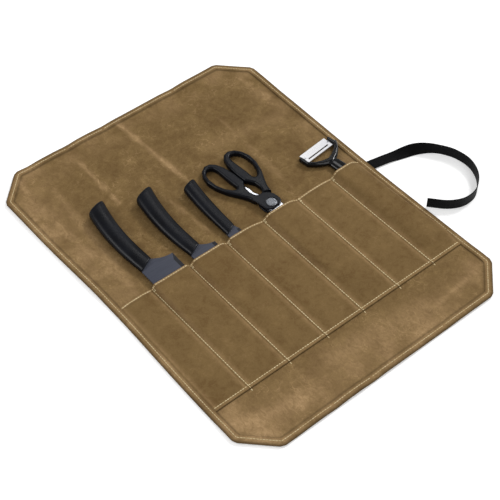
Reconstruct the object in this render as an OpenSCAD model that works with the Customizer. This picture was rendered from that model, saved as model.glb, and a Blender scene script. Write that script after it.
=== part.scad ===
// Waxed-canvas tool roll laid open, with three knives, scissors and a peeler in its pockets.
// Frame: X across the pockets, +Y towards the flap, +Z up, origin under the middle of the cloth.

/* [Roll] */
// Width of the opened roll, across the pockets
roll_w = 380; // [374:1:400]
// Length of the opened roll, along the tools
roll_l = 500; // [490:1:540]
// Length cut off each edge at a corner
corner_cut = 36; // [24:1:42]
// Thickness of the outer shell cloth
shell_t = 1; // [0.6:0.1:1.4]
// Thickness of the lining cloth
lining_t = 1; // [0.8:0.1:1.4]
// Width of the shell's folded hem
hem_w = 9; // [7:0.5:11]
// Gap between two panels at a fold line
fold_gap = 0.3; // [0.2:0.05:0.5]
// Length of the flap, past its fold line
flap_l = 68; // [56:1:72]

/* [Pockets] */
// Distance between two divider seams
pocket_pitch = 54; // [53.5:0.5:56]
// Width of the peeler's pocket, beside the right hem
end_pocket_w = 46; // [44:0.5:50]
// Depth of the pockets
pocket_depth = 174; // [166:1:190]
// Height of the pocket mouths above the middle of the roll
mouth_y = 0; // [-4:0.5:0.5]
// Thickness of the pocket cloth
pocket_t = 1; // [0.6:0.1:1.2]
// Width of the flat seam round a pocket
seam_w = 1.2; // [0.8:0.1:1.6]
// Height of the room in an empty pocket, at its mouth
empty_gape = 6; // [5:0.25:7]
// Gap between a tool and the cloth round it
cloth_gap = 0.3; // [0.2:0.05:0.5]

/* [Strap] */
// Width of the webbing
strap_w = 15; // [12:0.5:18]
// Thickness of the webbing
strap_t = 1; // [0.8:0.1:1.2]
// Length of the tab sewn in between shell and lining
tab_l = 20; // [16:1:30]
// Place of the strap along the right edge
strap_y = -14; // [-30:1:0]

/* [Knives] */
// Thickness of the blades
blade_t = 2; // [1.6:0.1:2.4]
// Slope of the handles' slanted ends
end_slant = 27; // [15:1:30]
// Width of a blade's tang
tang_w = 8; // [6:0.5:9]
// Clearance round a tang and at a collar
fit_gap = 0.05; // [0.02:0.01:0.1]

/* [Large knife] */
// Length of the blade from the collar to the tip
large_blade_l = 150; // [130:1:160]
// Width of the blade from spine to edge
large_blade_w = 44; // [38:0.5:45]
// Length of the handle
large_grip_l = 105; // [95:1:118]
// Width of the handle at the collar
large_collar_w = 20; // [18:0.5:21]
// Width of the handle at the butt
large_butt_w = 26; // [22:0.5:28]
// Thickness of the handle at the butt
large_butt_t = 15; // [12:0.5:16]
// Bow of the handle towards the spine
large_bow = 3; // [0:0.5:4]
// Length of the tang
large_tang_l = 66; // [40:1:80]
// Place of the collar from the middle of its pocket
large_x = -12; // [-13:0.5:-10]
// Place of the collar above the pocket mouth
large_y = 28; // [24:0.5:32]

/* [Middle knife] */
// Length of the blade from the collar to the tip
middle_blade_l = 128; // [110:1:140]
// Width of the blade from spine to edge
middle_blade_w = 35; // [30:0.5:38]
// Length of the handle
middle_grip_l = 105; // [95:1:118]
// Width of the handle at the collar
middle_collar_w = 18; // [16:0.5:20]
// Width of the handle at the butt
middle_butt_w = 27; // [22:0.5:28]
// Thickness of the handle at the butt
middle_butt_t = 15; // [12:0.5:16]
// Bow of the handle towards the spine
middle_bow = 3; // [0:0.5:4]
// Length of the tang
middle_tang_l = 62; // [40:1:76]
// Place of the collar from the middle of its pocket
middle_x = -9.5; // [-11:0.5:-7]
// Place of the collar above the pocket mouth
middle_y = 11; // [10:0.5:16]

/* [Small knife] */
// Length of the blade from the collar to the tip
small_blade_l = 92; // [75:1:110]
// Width of the blade from spine to edge
small_blade_w = 18; // [16:0.5:24]
// Length of the handle
small_grip_l = 85; // [80:1:100]
// Width of the handle at the collar
small_collar_w = 16; // [14:0.5:17]
// Width of the handle at the butt
small_butt_w = 20.5; // [17:0.5:22]
// Thickness of the handle at the butt
small_butt_t = 13; // [11:0.5:14]
// Bow of the handle towards the spine
small_bow = 0; // [0:0.5:4]
// Length of the tang
small_tang_l = 50; // [34:1:60]
// Place of the collar from the middle of its pocket
small_x = -12.5; // [-14:0.5:-8]
// Place of the collar above the pocket mouth
small_y = 9; // [8.5:0.5:14]

/* [Scissors] */
// Length of a blade below the pivot
shear_l = 95; // [80:1:105]
// Thickness of one blade
shear_t = 1.6; // [1.2:0.1:1.8]
// Thickness of the moulded handles
shear_grip_t = 8; // [7:0.25:10]
// Radius of the pivot screw's head
screw_head_r = 6.5; // [5:0.25:7]
// Radius of the pivot screw's shank
screw_r = 2.5; // [2:0.1:3]
// Radius of the pivot nut
nut_r = 5; // [4:0.25:5.5]
// Radial running clearance at the pivot
run_gap = 0.05; // [0.02:0.01:0.1]
// Lean of the scissors, handles towards the knives
shear_lean = 3.3; // [2:0.1:4]
// Place of the pivot from the middle of its pocket
shear_x = -3.5; // [-5:0.5:-2.5]
// Place of the pivot above the pocket mouth
shear_y = 10.5; // [10.5:0.5:16]

/* [Peeler] */
// Length of the peeler's blade
peel_l = 44; // [40:0.5:46]
// Width of the peeler's blade
peel_w = 15; // [12:0.5:15.5]
// Thickness of the peeler's blade
peel_t = 1.2; // [1:0.1:1.6]
// Radius of the blade's pivot pins
pin_r = 1; // [0.8:0.1:1.2]
// Width of a yoke arm
arm_w = 5; // [4.5:0.25:6]
// Thickness of the yoke and the handle
peel_grip_t = 7.5; // [6.5:0.25:8]
// Width of the handle
peel_grip_w = 15; // [12:0.5:17]
// Length of the handle below the yoke
peel_grip_l = 84; // [70:1:90]
// Lean of the peeler, head towards the scissors
peel_lean = 6; // [4:0.5:9]
// Place of the blade from the last divider seam
peel_x = 15.5; // [12:0.5:16.5]
// Place of the blade above the pocket mouth
peel_y = 44; // [39:0.5:48]

/* [Hidden] */
$fn = 48;
pocket_count = 7;
canvas_colour = "#7d6543";
pocket_colour = "#745b39";
webbing_colour = "#141416";
grip_colour = "#1d1e24";
blade_colour = "#4a5162";
steel_colour = "#c9ccd2";
ceramic_colour = "#f2f2f4";

// Heights of the lining's top and of the tools' undersides
lining_top = shell_t + lining_t;
seat_z = lining_top + cloth_gap;
foot_y = mouth_y - pocket_depth;
fold_y = roll_l / 2 - flap_l;
far = 2 * roll_l;

// Divider seams 1 to 6, set off from the right hem, and the panels that fold at seams 1, 2, 3 and 5
function divider_x(k) = roll_w / 2 - hem_w - end_pocket_w - (pocket_count - 1 - k) * pocket_pitch;
panel_edges = [-roll_w / 2, divider_x(1), divider_x(2), divider_x(3), divider_x(5), roll_w / 2];
function panel_low(i) = panel_edges[i - 1] + (i == 1 ? 0 : fold_gap / 2);
function panel_high(i) = panel_edges[i] - (i == 5 ? 0 : fold_gap / 2);
function pocket_low(k) = k == 1 ? -roll_w / 2 + hem_w : divider_x(k - 1) + fold_gap / 2;
function pocket_high(k) = k == pocket_count ? roll_w / 2 - hem_w : divider_x(k) - fold_gap / 2;
function pocket_mid(k) = divider_x(k) - pocket_pitch / 2;

// A knife's row: blade length, blade width, grip length, collar width, butt width, butt thickness,
// tang length, place across, place along, bow of the handle
large = [large_blade_l, large_blade_w, large_grip_l, large_collar_w, large_butt_w, large_butt_t,
    large_tang_l, pocket_mid(2) + large_x, mouth_y + large_y, large_bow];
middle = [middle_blade_l, middle_blade_w, middle_grip_l, middle_collar_w, middle_butt_w, middle_butt_t,
    middle_tang_l, pocket_mid(3) + middle_x, mouth_y + middle_y, middle_bow];
small = [small_blade_l, small_blade_w, small_grip_l, small_collar_w, small_butt_w, small_butt_t,
    small_tang_l, pocket_mid(4) + small_x, mouth_y + small_y, small_bow];

// A knife lies on its butt and its tip, so its axis rises towards the butt
function knife_slope(k) = (k[5] - blade_t) / 2 / (k[2] + k[0]);
function knife_z(k) = seat_z + blade_t / 2 + k[0] * knife_slope(k);
function collar_t(k) = blade_t + 2 * k[0] * knife_slope(k);
function blade_top(k, y) = knife_z(k) + (y - k[8]) * knife_slope(k) + blade_t / 2;

// Gap between the two scissor blades, and the depth of the peeler's yoke
shear_gap = 0.05;
yoke_drop = 30;

// Scissors and peeler lie flat on the lining
shear_pos = [pocket_mid(5) + shear_x, mouth_y + shear_y, seat_z + shear_grip_t / 2];
peel_pos = [divider_x(6) + peel_x, mouth_y + peel_y, seat_z + peel_grip_t / 2];
shear_tip_y = shear_pos[1] - shear_l;
peel_end_y = peel_pos[1] - yoke_drop - peel_grip_l;
shear_top = shear_pos[2] + shear_gap + shear_t;
peel_top = peel_pos[2] + peel_grip_t / 2;

// Room in each pocket above the lining: at the mouth, at the tool's end, that end's place, ramp width
tool_clear = cloth_gap - lining_top;
empty_room = [empty_gape, empty_gape * 0.45, mouth_y - pocket_depth * 0.75, 15];
pocket_room = [
    empty_room,
    [blade_top(large, mouth_y) + tool_clear, blade_top(large, large[8] - large_blade_l) + tool_clear,
        large[8] - large_blade_l, 3],
    [blade_top(middle, mouth_y) + tool_clear, blade_top(middle, middle[8] - middle_blade_l) + tool_clear,
        middle[8] - middle_blade_l, 5],
    [blade_top(small, mouth_y) + tool_clear, blade_top(small, small[8] - small_blade_l) + tool_clear,
        small[8] - small_blade_l, 5],
    [shear_top + tool_clear, shear_top + tool_clear, shear_tip_y, 7],
    empty_room,
    [peel_top + tool_clear, peel_top + tool_clear, peel_end_y, 9],
];
// Extra height of a pocket's crown over the room that its tool needs
crown_h = 0.8;
// Length over which a pocket runs down to its foot seam
foot_run = 30;

function mix(a, b, t) = a + (b - a) * t;
function ease(t) = let (c = min(max(t, 0), 1)) c * c * (3 - 2 * c);
function bulge(v, p) = sign(v) * pow(abs(v), p);

// Outline of the opened roll, drawn in by an inset
function roll_points(inset) = let (
    w = roll_w / 2 - inset,
    l = roll_l / 2 - inset,
    c = corner_cut - inset * (2 - sqrt(2))
) [[-w, -l + c], [-w + c, -l], [w - c, -l], [w, -l + c],
    [w, l - c], [w - c, l], [-w + c, l], [-w, l - c]];

// Closed solid through a row of rings with the same number of points; joined ends make a loop
module loft(rings, looped = false) {
    count = len(rings);
    sides = len(rings[0]);
    spans = looped ? count : count - 1;
    walls = [for (r = [0:spans - 1], s = [0:sides - 1], half = [0, 1])
        let (a = r * sides, b = ((r + 1) % count) * sides, n = (s + 1) % sides)
        half == 0 ? [a + s, b + s, a + n] : [a + n, b + s, b + n]];
    low_cap = [for (s = [0:sides / 2 - 2], half = [0, 1])
        half == 0 ? [s, s + 1, sides - 1 - s] : [s + 1, sides - 2 - s, sides - 1 - s]];
    high_cap = [for (f = low_cap) (count - 1) * sides * [1, 1, 1] + [f[0], f[2], f[1]]];
    polyhedron([for (r = rings) each r], looped ? walls : concat(walls, low_cap, high_cap));
}

// Part of the roll's outline between two fold lines, drawn in by an inset
module panel_area(i, low_y, high_y, inset) {
    intersection() {
        polygon(roll_points(inset));
        translate([panel_low(i), low_y]) square([panel_high(i) - panel_low(i), high_y - low_y]);
    }
}

// Shell cloth, turned up round the lining's edge and folded back over it as the hem
module shell_area(i, low_y, high_y) {
    color(canvas_colour) {
        linear_extrude(shell_t) panel_area(i, low_y, high_y, 0);
        translate([0, 0, shell_t]) linear_extrude(lining_t) difference() {
            panel_area(i, low_y, high_y, 0);
            polygon(roll_points(shell_t));
        }
        translate([0, 0, lining_top]) linear_extrude(shell_t) difference() {
            panel_area(i, low_y, high_y, 0);
            polygon(roll_points(hem_w));
        }
    }
}

module lining_area(i, low_y, high_y) {
    color(canvas_colour)
        translate([0, 0, shell_t]) linear_extrude(lining_t) panel_area(i, low_y, high_y, shell_t);
}

module tab_block() {
    translate([roll_w / 2 - tab_l, strap_y - strap_w / 2, shell_t]) cube([tab_l, strap_w, strap_t]);
}

module shell(i) {
    difference() {
        shell_area(i, -far, fold_y - fold_gap / 2);
        if (i == 5) tab_block();
    }
}

module lining(i) {
    difference() {
        lining_area(i, -far, fold_y - fold_gap / 2);
        if (i == 5) tab_block();
    }
}

module flap_shell(i) {
    shell_area(i, fold_y + fold_gap / 2, far);
}

module flap_lining(i) {
    lining_area(i, fold_y + fold_gap / 2, far);
}

// Half the width between a pocket's seams, and the ramps that it has room for
function pocket_half(k) = (pocket_high(k) - pocket_low(k)) / 2 - seam_w;
function pocket_ramp(k) = min(pocket_room[k - 1][3], pocket_half(k) * 0.9);

// Underside of a pocket front over the lining: flat seams, ramps at the sides, a crown, a foot ramp
function pocket_height(k, x, y) = let (
    room = pocket_room[k - 1],
    side = min(x - pocket_low(k), pocket_high(k) - x) - seam_w,
    half = pocket_half(k),
    along = max(0, (mouth_y - y) / (mouth_y - room[2])),
    level = mix(room[0], room[1], min(along, 1)) + crown_h * ease(side / half),
    foot = ease((y - foot_y - seam_w) / foot_run)
) level * ease(side / pocket_ramp(k)) * foot;

module pocket(k) {
    low = pocket_low(k);
    high = pocket_high(k);
    ramp = pocket_ramp(k);
    inner = pocket_half(k) - ramp;
    left = [0, seam_w, for (t = [0.25:0.25:1]) seam_w + ramp * t, seam_w + ramp + inner / 2];
    across = [for (d = left) low + d, (low + high) / 2, for (i = [len(left) - 1:-1:0]) high - left[i]];
    ramp_top = foot_y + seam_w + foot_run;
    along = [foot_y, foot_y + seam_w, for (t = [0.25:0.25:1]) foot_y + seam_w + foot_run * t,
        for (t = [0.25:0.25:1]) mix(ramp_top, mouth_y, t)];
    color(pocket_colour) loft([for (y = along) concat(
        [for (i = [len(across) - 1:-1:0]) [across[i], y, lining_top + pocket_height(k, across[i], y)]],
        [for (x = across) [x, y, lining_top + pocket_t + pocket_height(k, x, y)]]
    )]);
}

module strap_tab() {
    color(webbing_colour) tab_block();
}

// The free strap: out of the edge, round in one loop and back towards the roll, ending bare
strap_route = [[0, 0], [10, -2], [20, -4], [31, -7], [42, -11], [53, -16], [63, -23], [72, -31],
    [79, -40], [85, -51], [88, -62], [89, -74], [87, -85], [82, -96], [76, -104], [68, -111],
    [58, -117], [47, -119], [36, -118], [25, -113], [16, -106], [9, -98], [3, -91]];
// The webbing leaves flat and stands on edge after these points of the route
strap_flat_until = 2;
strap_upright_from = 8;

function strap_dir(i) = let (
    a = strap_route[max(i - 1, 0)],
    b = strap_route[min(i + 1, len(strap_route) - 1)]
) i == 0 ? [1, 0] : (b - a) / norm(b - a);
function strap_turn(i) = 90 * ease((i - strap_flat_until) / (strap_upright_from - strap_flat_until));
function strap_ring(i) = let (
    d = strap_dir(i),
    turn = strap_turn(i),
    across = [-d[1], d[0], 0],
    wide = cos(turn) * across + [0, 0, sin(turn)],
    thick = -sin(turn) * across + [0, 0, cos(turn)],
    rise = strap_w / 2 * sin(turn) + strap_t / 2 * cos(turn),
    base = [roll_w / 2 + strap_route[i][0], strap_y + strap_route[i][1], max(shell_t + strap_t / 2, rise)]
) [for (c = [[-0.96, -1], [0.96, -1], [1, -0.6], [1, 0.6], [0.96, 1], [-0.96, 1], [-1, 0.6], [-1, -0.6]])
    base + wide * c[0] * strap_w / 2 + thick * c[1] * strap_t / 2];

module strap() {
    color(webbing_colour) loft([for (i = [0:len(strap_route) - 1]) strap_ring(i)]);
}

// Knives
// A knife's own frame has its origin at the collar, +Y along the handle and the blade's middle at z 0
module place_knife(k) {
    translate([k[7], k[8], knife_z(k)]) rotate([asin(knife_slope(k)), 0, 0]) children();
}

function slant(x) = x * tan(end_slant);
function tang_points(k, gap) = let (w = tang_w / 2 + gap, l = k[6] + gap)
    [[-w, slant(-w)], [w, slant(w)], [w, l], [-w, l]];

// Blade in plan: collar, neck curve, heel, edge that curves to the tip, straight spine
function knife_points(k) = let (
    spine = -k[3] / 2,
    edge = spine + k[1],
    tip = spine + k[1] * 0.32,
    neck = k[3] / 2 - 1,
    heel_y = slant(spine) + 1,
    tip_run = k[0] * 0.55
) concat(
    [[spine, slant(spine) - fit_gap]],
    [for (t = [0:0.2:0.8]) [mix(spine, tip, pow(t, 3)), mix(slant(spine) - 40, -k[0] + 6, t)]],
    [[tip, -k[0]]],
    [for (t = [0.1:0.1:1]) [mix(tip, edge, sin(90 * t)), -k[0] + tip_run * (1 - cos(90 * t))]],
    [[edge, heel_y]],
    [for (t = [0.25:0.25:1]) [mix(edge, neck, t), mix(heel_y, slant(neck) - fit_gap, pow(t, 2.2))]]
);

module knife_blade(k) {
    color(blade_colour) place_knife(k) translate([0, 0, -blade_t / 2]) linear_extrude(blade_t) {
        polygon(knife_points(k));
        polygon([[-tang_w / 2, slant(-tang_w / 2) - 1], [tang_w / 2, slant(tang_w / 2) - 1],
            [tang_w / 2, k[6]], [-tang_w / 2, k[6]]]);
    }
}

// Handle: oval rings from the slanted collar to the squarer butt, bowed to the spine and hooked at the butt
grip_hook = 5;
butt_square = 0.5;
grip_sides = 16;
grip_steps = [[0, 1], [0.12, 1], [0.25, 1], [0.38, 1], [0.5, 1], [0.62, 1], [0.74, 1], [0.86, 1],
    [0.95, 1], [0.985, 0.95], [1, 0.8]];

function grip_ring(k, t, swell) = let (
    bow = -k[9] * sin(180 * t) + grip_hook * pow(t, 3),
    w = mix(k[3], k[4], t) / 2 * swell,
    h = mix(collar_t(k), k[5], t) / 2 * swell
) [for (s = [0:grip_sides - 1]) let (
    a = -360 * s / grip_sides,
    x = bow + w * bulge(cos(a), 0.75)
) [x, k[2] * t + slant(x) * (1 - butt_square * t), h * bulge(sin(a), 0.75)]];

module knife_grip(k) {
    color(grip_colour) place_knife(k) difference() {
        loft([for (s = grip_steps) grip_ring(k, s[0], s[1])]);
        translate([0, 0, -blade_t / 2 - fit_gap]) linear_extrude(blade_t + 2 * fit_gap)
            polygon(concat([[-tang_w / 2 - fit_gap, -tang_w], [tang_w / 2 + fit_gap, -tang_w]],
                [tang_points(k, fit_gap)[2], tang_points(k, fit_gap)[3]]));
    }
}

// Scissors
// Own frame: origin at the pivot, +Y between the handles, the front half above z 0
hub_cut_r = 19.5;
hub_z = shear_gap + shear_t + fit_gap;
hub_t = shear_grip_t / 2 - hub_z;
// How far the front tang's crusher edge stands out into the gap between the handles
crusher_w = 5;

module place_scissors() {
    translate(shear_pos) rotate([0, 0, shear_lean]) children();
}

// Blade in plan, with its tang up the left handle
function shear_points(bite) = [[-13, 42], [bite - 9.4, 40], [bite - 8.4, 34], [bite - 9, 27], [0, 14],
    [8, 8], [9.5, 0], [9.5, -12], [8, -shear_l * 0.6], [1.6, -shear_l], [-0.6, -shear_l],
    [-3, -shear_l * 0.6], [-6, -10], [-9.5, -3], [-10.5, 8], [-13, 30]];

module shear_blade(bite) {
    translate([0, 0, shear_gap]) difference() {
        linear_extrude(shear_t) polygon(shear_points(bite));
        translate([0, 0, -1]) cylinder(r = screw_r + run_gap, h = shear_t + 2);
    }
}

// Handle in plan: outline from the gap round the loop to the hub, the finger hole, and the hub's plate
grip_points = [[-0.5, 48], [-0.5, 64], [-1.2, 73], [-2.8, 82], [-6, 91], [-11.5, 97], [-19, 98.5],
    [-26.5, 94.5], [-32, 86.5], [-34.8, 75], [-33.5, 62], [-28.5, 47.5], [-21, 34], [-16, 24], [-13.2, 13],
    [-12, 5], [-4, 5], [-3, 19.5], [-6, 23.5], [-7.2, 29], [-6.8, 36.5], [-3.6, 43.5]];
hole_points = [[-22.5, 90.5], [-17.5, 91.5], [-13.8, 88.5], [-12.6, 82], [-12.8, 72], [-13.2, 57],
    [-12.8, 46.5], [-15.5, 43.8], [-19.5, 45.5], [-25.2, 53.5], [-29, 65], [-29.2, 77.5], [-26.8, 86]];
hub_points = [[-12.5, -1], [-11, -5.5], [-6, -8], [6, -8], [11, -5.5], [12.5, -1], [12, 8], [9, 14.5],
    [3, 18.8], [-8, 19], [-15, 19], [-13.2, 11]];
// The handle's rounded section in layers: share of its height, how far the outline is drawn in there
round_steps = [[1, 1.7], [0.9, 0.9], [0.72, 0.3], [0.5, 0]];

module grip_layers() {
    for (s = round_steps) linear_extrude(shear_grip_t * s[0], center = true)
        offset(delta = -s[1]) difference() {
            polygon(grip_points);
            polygon(hole_points);
        }
}

module hub_plate(hole_r) {
    translate([0, 0, hub_z]) difference() {
        linear_extrude(hub_t) polygon(hub_points);
        translate([0, 0, -1]) cylinder(r = hole_r, h = hub_t + 2);
    }
}

// Moulded half with its hub above the blade; the other half's hub and blade pass under it
module shear_grip(hole_r, bite) {
    difference() {
        grip_layers();
        translate([0, 0, hub_z - shear_grip_t]) cylinder(r = hub_cut_r, h = shear_grip_t);
        translate([0, 0, -shear_grip_t]) cylinder(r = hole_r, h = 2 * shear_grip_t);
        translate([0, 0, shear_gap - fit_gap]) linear_extrude(shear_t + 2 * fit_gap)
            offset(delta = fit_gap) polygon(shear_points(bite));
    }
    hub_plate(hole_r);
}

// The screw's head stands proud of the hub, and its shank runs half way through the nut
head_proud = 0.4;
shank_l = 2 * (shear_gap + shear_t) + hub_t / 2;
front_hole_r = screw_head_r + fit_gap;
back_hole_r = nut_r + run_gap;

module scissors_front_blade() {
    color(steel_colour) place_scissors() shear_blade(crusher_w);
}

module scissors_back_blade() {
    color(steel_colour) place_scissors() rotate([0, 180, 0]) shear_blade(0);
}

module scissors_front_handle() {
    color(grip_colour) place_scissors() shear_grip(front_hole_r, crusher_w);
}

module scissors_back_handle() {
    color(grip_colour) place_scissors() rotate([0, 180, 0]) shear_grip(back_hole_r, 0);
}

module scissors_screw() {
    color(steel_colour) place_scissors() {
        translate([0, 0, shear_gap + shear_t])
            cylinder(r = screw_head_r, h = hub_t + fit_gap + head_proud);
        translate([0, 0, shear_gap + shear_t - shank_l]) cylinder(r = screw_r, h = shank_l + head_proud);
    }
}

module scissors_nut() {
    color(steel_colour) place_scissors() difference() {
        translate([0, 0, -hub_z - hub_t]) cylinder(r = nut_r, h = hub_t);
        translate([0, 0, shear_gap + shear_t - shank_l - fit_gap]) cylinder(r = screw_r, h = hub_t);
    }
}

// Peeler
// Own frame: origin at the blade's middle, the handle runs towards -Y
// Gap between the plate's end and a yoke arm, and the eye gouge's place and radius on the right arm
arm_gap = 0.4;
nub_y = -6;
nub_r = 2.6;
arm_x = peel_l / 2 + arm_gap + arm_w / 2;
yoke_steps = [[-1, 4, 0.8], [-1, 0, 1], [-1, -9.5, 1], [-0.74, -16, 1.2], [-0.38, -21.5, 1.6],
    [0, -25, 2.1], [0.38, -21.5, 1.6], [0.74, -16, 1.2], [1, -9.5, 1], [1, 0, 1], [1, 4, 0.8]];

module place_peeler() {
    translate(peel_pos) rotate([0, 0, peel_lean]) children();
}

yoke_sides = 8;
function yoke_point(i) = [yoke_steps[i][0] * arm_x, yoke_steps[i][1]];
function yoke_dir(i) = let (
    d = yoke_point(min(i + 1, len(yoke_steps) - 1)) - yoke_point(max(i - 1, 0))
) d / norm(d);
function yoke_ring(i) = let (
    d = yoke_dir(i),
    n = [-d[1], d[0]],
    w = arm_w / 2 * yoke_steps[i][2]
) [for (s = [0:yoke_sides - 1]) let (
    q = 360 * (s + 0.5) / yoke_sides,
    p = yoke_point(i) + n * w * cos(q) / cos(180 / yoke_sides)
) [p[0], p[1], peel_grip_t / 2 * sin(q) / sin(90 - 180 / yoke_sides)]];

// Handle rings: place along below the yoke as a share of its length, width as a share
peel_grip_steps = [[-0.06, 0.6], [0, 1.05], [0.12, 1.1], [0.3, 0.92], [0.6, 1], [0.85, 1.06],
    [0.95, 0.95], [1, 0.6]];
function peel_grip_ring(s) = [for (i = [0:15]) let (q = 360 * i / 16)
    [peel_grip_w / 2 * s[1] * bulge(cos(q), 0.8), -yoke_drop - peel_grip_l * s[0],
        peel_grip_t / 2 * min(1, s[1] + 0.2) * bulge(sin(q), 0.8)]];

module peeler_handle() {
    color(grip_colour) place_peeler() {
        difference() {
            loft([for (i = [0:len(yoke_steps) - 1]) yoke_ring(i)]);
            rotate([0, 90, 0]) cylinder(r = pin_r + run_gap, h = 4 * arm_x, center = true);
        }
        loft([for (s = peel_grip_steps) peel_grip_ring(s)]);
        translate([arm_x + arm_w / 2, nub_y, 0]) sphere(r = nub_r);
    }
}

// Ceramic plate with its peeling slot
slot_w = 2;
slot_l = peel_l * 0.8;

module peeler_blade() {
    color(ceramic_colour) place_peeler() difference() {
        translate([-peel_l / 2, -peel_w / 2, -peel_t / 2]) cube([peel_l, peel_w, peel_t]);
        translate([-slot_l / 2, -peel_w * 0.24 - slot_w / 2, -peel_t]) cube([slot_l, slot_w, 2 * peel_t]);
        for (side = [-1, 1]) translate([side * peel_l / 2, 0, 0]) rotate([0, 90, 0])
            cylinder(r = pin_r, h = 2 * pin_seat, center = true);
    }
}

// Pins held in the plate's ends, turning in the yoke arms
pin_seat = 3;
pin_reach = arm_gap + arm_w * 0.8;

module peeler_pins() {
    color(steel_colour) place_peeler() for (side = [-1, 1])
        translate([side * (peel_l / 2 + (pin_reach - pin_seat) / 2), 0, 0]) rotate([0, 90, 0])
            cylinder(r = pin_r, h = pin_reach + pin_seat, center = true);
}

shell(1);  // shell_1
shell(2);  // shell_2
shell(3);  // shell_3
shell(4);  // shell_4
shell(5);  // shell_5
lining(1);  // lining_1
lining(2);  // lining_2
lining(3);  // lining_3
lining(4);  // lining_4
lining(5);  // lining_5
flap_shell(1);  // flap_shell_1
flap_shell(2);  // flap_shell_2
flap_shell(3);  // flap_shell_3
flap_shell(4);  // flap_shell_4
flap_shell(5);  // flap_shell_5
flap_lining(1);  // flap_lining_1
flap_lining(2);  // flap_lining_2
flap_lining(3);  // flap_lining_3
flap_lining(4);  // flap_lining_4
flap_lining(5);  // flap_lining_5
pocket(1);  // pocket_1
pocket(2);  // pocket_2
pocket(3);  // pocket_3
pocket(4);  // pocket_4
pocket(5);  // pocket_5
pocket(6);  // pocket_6
pocket(7);  // pocket_7
strap_tab();
strap();
knife_blade(large);  // large_knife_blade
knife_grip(large);  // large_knife_handle
knife_blade(middle);  // middle_knife_blade
knife_grip(middle);  // middle_knife_handle
knife_blade(small);  // small_knife_blade
knife_grip(small);  // small_knife_handle
scissors_front_blade();
scissors_back_blade();
scissors_front_handle();
scissors_back_handle();
scissors_screw();
scissors_nut();
peeler_handle();
peeler_blade();
peeler_pins();
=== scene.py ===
import math

import bmesh
import bpy
from mathutils import Matrix, Vector, noise
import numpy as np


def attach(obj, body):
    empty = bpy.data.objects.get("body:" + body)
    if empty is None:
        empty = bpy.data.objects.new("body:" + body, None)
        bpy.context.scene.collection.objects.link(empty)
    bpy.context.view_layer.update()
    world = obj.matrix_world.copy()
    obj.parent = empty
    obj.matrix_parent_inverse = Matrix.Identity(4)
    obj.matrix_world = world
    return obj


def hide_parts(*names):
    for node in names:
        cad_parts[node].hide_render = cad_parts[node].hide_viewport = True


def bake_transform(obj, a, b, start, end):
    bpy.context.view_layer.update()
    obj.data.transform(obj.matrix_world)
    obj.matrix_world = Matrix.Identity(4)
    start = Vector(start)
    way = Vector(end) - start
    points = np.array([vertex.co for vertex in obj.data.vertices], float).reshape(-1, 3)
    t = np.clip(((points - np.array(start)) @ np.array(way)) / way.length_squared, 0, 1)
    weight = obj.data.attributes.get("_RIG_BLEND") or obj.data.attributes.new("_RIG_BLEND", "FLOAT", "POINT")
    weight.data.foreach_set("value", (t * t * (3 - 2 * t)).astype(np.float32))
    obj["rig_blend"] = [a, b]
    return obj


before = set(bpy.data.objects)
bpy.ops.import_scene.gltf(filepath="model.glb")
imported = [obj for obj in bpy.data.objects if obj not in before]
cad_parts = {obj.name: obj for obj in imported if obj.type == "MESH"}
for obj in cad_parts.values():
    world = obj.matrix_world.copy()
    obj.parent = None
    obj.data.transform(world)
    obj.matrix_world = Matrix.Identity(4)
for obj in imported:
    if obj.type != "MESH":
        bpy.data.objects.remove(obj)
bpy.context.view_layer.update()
print("frame loaded:", len(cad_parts), "nodes")


def linearColour(hexText):
    parts = [int(hexText[i:i + 2], 16) / 255 for i in (1, 3, 5)]
    return [p / 12.92 if p <= 0.04045 else ((p + 0.055) / 1.055) ** 2.4 for p in parts] + [1]


def addNode(tree, kind, inputs=None, **settings):
    node = tree.nodes.new(kind)
    for name, value in settings.items():
        setattr(node, name, value)
    for name, value in (inputs or {}).items():
        if isinstance(value, bpy.types.NodeSocket):
            tree.links.new(value, node.inputs[name])
        else:
            node.inputs[name].default_value = value
    return node


def newMaterial(name):
    material = bpy.data.materials.new(name)
    material.use_nodes = True
    tree = material.node_tree
    return material, tree, tree.nodes["Principled BSDF"]


def mixColours(tree, factor, first, second):
    node = tree.nodes.new("ShaderNodeMix")
    node.data_type = "RGBA"
    for place, value in ((0, factor), (6, first), (7, second)):
        if isinstance(value, bpy.types.NodeSocket):
            tree.links.new(value, node.inputs[place])
        else:
            node.inputs[place].default_value = value
    return node.outputs[2]


def setRamp(node, stops):
    ramp = node.color_ramp
    while len(ramp.elements) < len(stops):
        ramp.elements.new(0.5)
    for element, (place, colour) in zip(ramp.elements, stops):
        element.position = place
        element.color = linearColour(colour) if isinstance(colour, str) else [colour] * 3 + [1]


def smoothStep(t):
    c = min(max(t, 0), 1)
    return c * c * (3 - 2 * c)


def mix(a, b, t):
    return a + (b - a) * t


def makePiece(name, bm, material, sharpAngle=None):
    mesh = bpy.data.meshes.new(name)
    bm.to_mesh(mesh)
    bm.free()
    piece = bpy.data.objects.new(name, mesh)
    bpy.context.collection.objects.link(piece)
    mesh.materials.append(material)
    mesh.shade_smooth()
    if sharpAngle:
        mesh.set_sharp_from_angle(angle=math.radians(sharpAngle))
    return piece


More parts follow.
